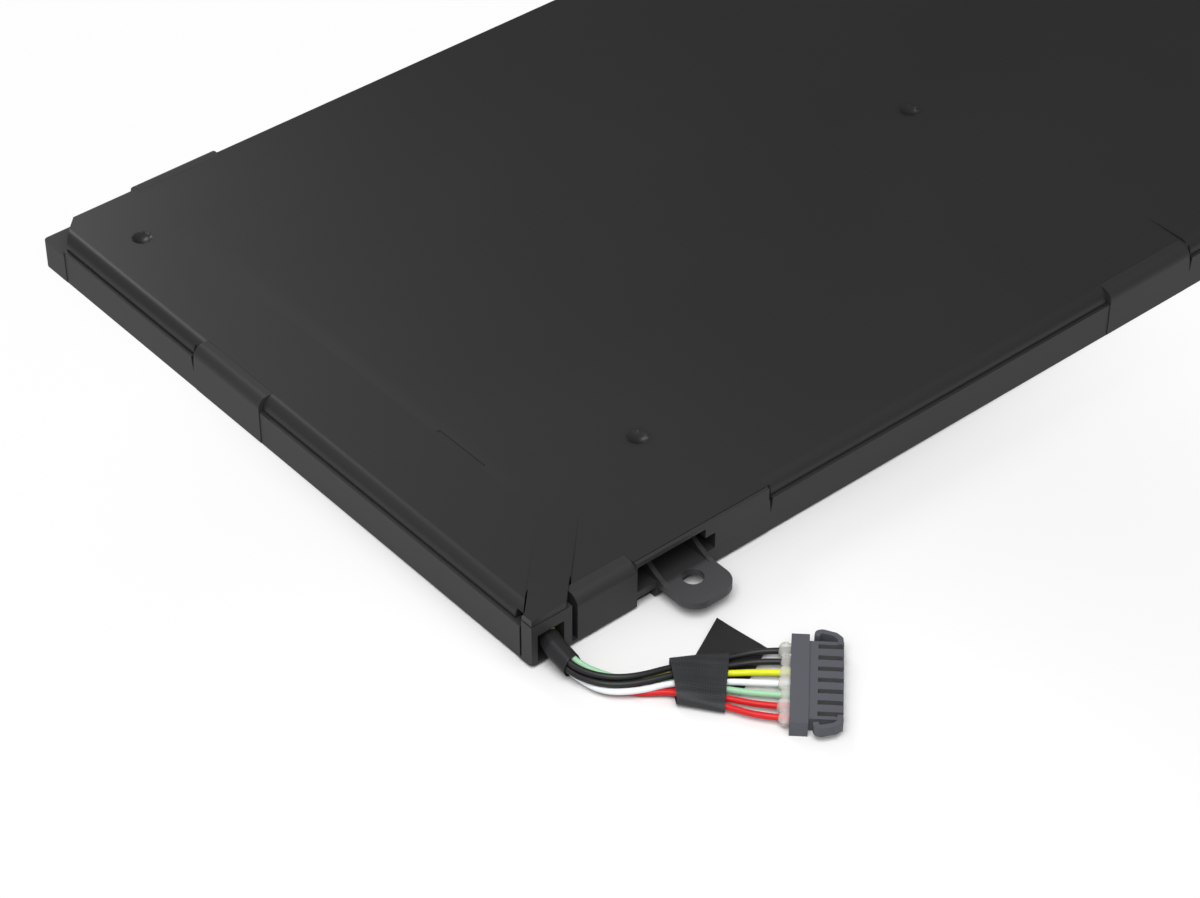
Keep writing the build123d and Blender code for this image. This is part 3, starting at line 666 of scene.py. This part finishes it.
# Wires
for node, (lane, length, ring, listed_places) in WIRES.items():
    points = route(lane, ring, listed_places)
    curve = bpy.data.curves.new(node.replace("wire", "lead"), "CURVE")
    curve.dimensions = "3D"
    curve.bevel_depth = WIRE_RADIUS * MM
    curve.bevel_resolution = 5
    curve.resolution_u = 12
    curve.use_fill_caps = True
    spline = curve.splines.new("NURBS")
    spline.points.add(len(points) - 1)
    for point, place in zip(spline.points, points):
        point.co = (*place, 1.0)
    spline.order_u = 3
    spline.use_endpoint_u = True
    wire = bpy.data.objects.new(curve.name, curve)
    bpy.context.scene.collection.objects.link(wire)
    curve.materials.append(WIRE_SKINS[node.split("_")[1]])
    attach(wire, "root")
    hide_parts(node)


def floor_material():
    """White floor that keeps the shadow near the object, with the rest of its white set for the camera."""
    material, tree, shader = new_material("studio_white")
    shader.inputs["Base Color"].default_value = (FLOOR_WHITE, FLOOR_WHITE, FLOOR_WHITE, 1.0)
    shader.inputs["Roughness"].default_value = 0.9
    glow = tree.nodes.new("ShaderNodeEmission")
    glow.inputs["Strength"].default_value = 1.0
    paths = tree.nodes.new("ShaderNodeLightPath")
    seen = paths.outputs["Is Camera Ray"]
    for other in ("Is Glossy Ray", "Is Transmission Ray"):
        either = tree.nodes.new("ShaderNodeMath")
        either.operation = "MAXIMUM"
        tree.links.new(seen, either.inputs[0])
        tree.links.new(paths.outputs[other], either.inputs[1])
        seen = either.outputs["Value"]
    place = tree.nodes.new("ShaderNodeTexCoord")
    away = tree.nodes.new("ShaderNodeVectorMath")
    away.operation = "DISTANCE"
    away.inputs[1].default_value = GLOW_AROUND
    tree.links.new(place.outputs["Object"], away.inputs[0])
    share = tree.nodes.new("ShaderNodeMapRange")
    share.inputs["To Min"].default_value = FLOOR_GLOW[0]
    share.inputs["To Max"].default_value = FLOOR_GLOW[1]
    tree.links.new(ramp_between(tree, away.outputs["Value"], *GLOW_GROWS), share.inputs["Value"])
    mix = tree.nodes.new("ShaderNodeMixShader")
    tree.links.new(product(tree, [seen, share.outputs["Result"]]), mix.inputs["Fac"])
    tree.links.new(shader.outputs["BSDF"], mix.inputs[1])
    tree.links.new(glow.outputs["Emission"], mix.inputs[2])
    tree.links.new(mix.outputs["Shader"], tree.nodes["Material Output"].inputs["Surface"])
    return material


def add_floor():
    """The floor that the part lies on."""
    bpy.ops.object.select_all(action="DESELECT")
    bpy.ops.mesh.primitive_plane_add(size=FLOOR_SIZE, location=(0.0, 0.0, -FLOOR_DROP))
    floor = bpy.context.object
    floor.name = "studio_floor"
    floor.data.materials.append(floor_material())


def add_softbox(name, place, aim, size, power):
    """A square area lamp that looks at a point."""
    lamp = bpy.data.lights.new(name, "AREA")
    lamp.energy = power
    lamp.size = size
    holder = bpy.data.objects.new(name, lamp)
    holder.location = place
    holder.rotation_euler = (Vector(aim) - Vector(place)).to_track_quat("-Z", "Y").to_euler()
    bpy.context.scene.collection.objects.link(holder)


def add_world():
    """Sky that is brightest in one direction and fades away from it."""
    world = bpy.data.worlds.new("studio")
    world.use_nodes = True
    bpy.context.scene.world = world
    tree = world.node_tree
    place = tree.nodes.new("ShaderNodeTexCoord")
    facing = tree.nodes.new("ShaderNodeVectorMath")
    facing.operation = "DOT_PRODUCT"
    facing.inputs[1].default_value = Vector(SKY_TOWARDS).normalized()
    level = tree.nodes.new("ShaderNodeMapRange")
    level.inputs["From Min"].default_value = SKY_FADES_FROM
    level.inputs["To Min"].default_value = SKY_DARKEST
    level.inputs["To Max"].default_value = SKY_BRIGHTEST
    tree.links.new(place.outputs["Generated"], facing.inputs[0])
    tree.links.new(facing.outputs["Value"], level.inputs["Value"])
    tree.links.new(level.outputs["Result"], tree.nodes["Background"].inputs["Strength"])
    tree.nodes["Background"].inputs["Color"].default_value = (1.0, 1.0, 1.0, 1.0)


def add_camera():
    """The photograph's camera."""
    camera = bpy.data.cameras.new("camera")
    camera.sensor_width = SENSOR_WIDTH
    camera.lens = FOCAL_PIXELS / IMAGE_WIDTH * SENSOR_WIDTH
    camera.clip_start = 0.01
    ahead = Vector((
        math.cos(CAMERA_PITCH) * math.sin(CAMERA_YAW),
        math.cos(CAMERA_PITCH) * math.cos(CAMERA_YAW),
        -math.sin(CAMERA_PITCH),
    ))
    level = Vector((math.cos(CAMERA_YAW), -math.sin(CAMERA_YAW), 0.0))
    below = ahead.cross(level)
    right = math.cos(CAMERA_ROLL) * level + math.sin(CAMERA_ROLL) * below
    down = -math.sin(CAMERA_ROLL) * level + math.cos(CAMERA_ROLL) * below
    turn = Matrix((right, -down, -ahead)).transposed()
    holder = bpy.data.objects.new("camera", camera)
    holder.matrix_world = Matrix.Translation(CORNER + CAMERA_FROM_CORNER) @ turn.to_4x4()
    bpy.context.scene.collection.objects.link(holder)
    bpy.context.scene.camera = holder


add_floor()
add_world()
add_softbox("key", KEY_AT, KEY_AIM, KEY_SIZE, KEY_POWER)
add_softbox("window", WINDOW_AT, WINDOW_AIM, WINDOW_SIZE, WINDOW_POWER)
add_camera()
bpy.context.scene.view_settings.view_transform = "Standard"
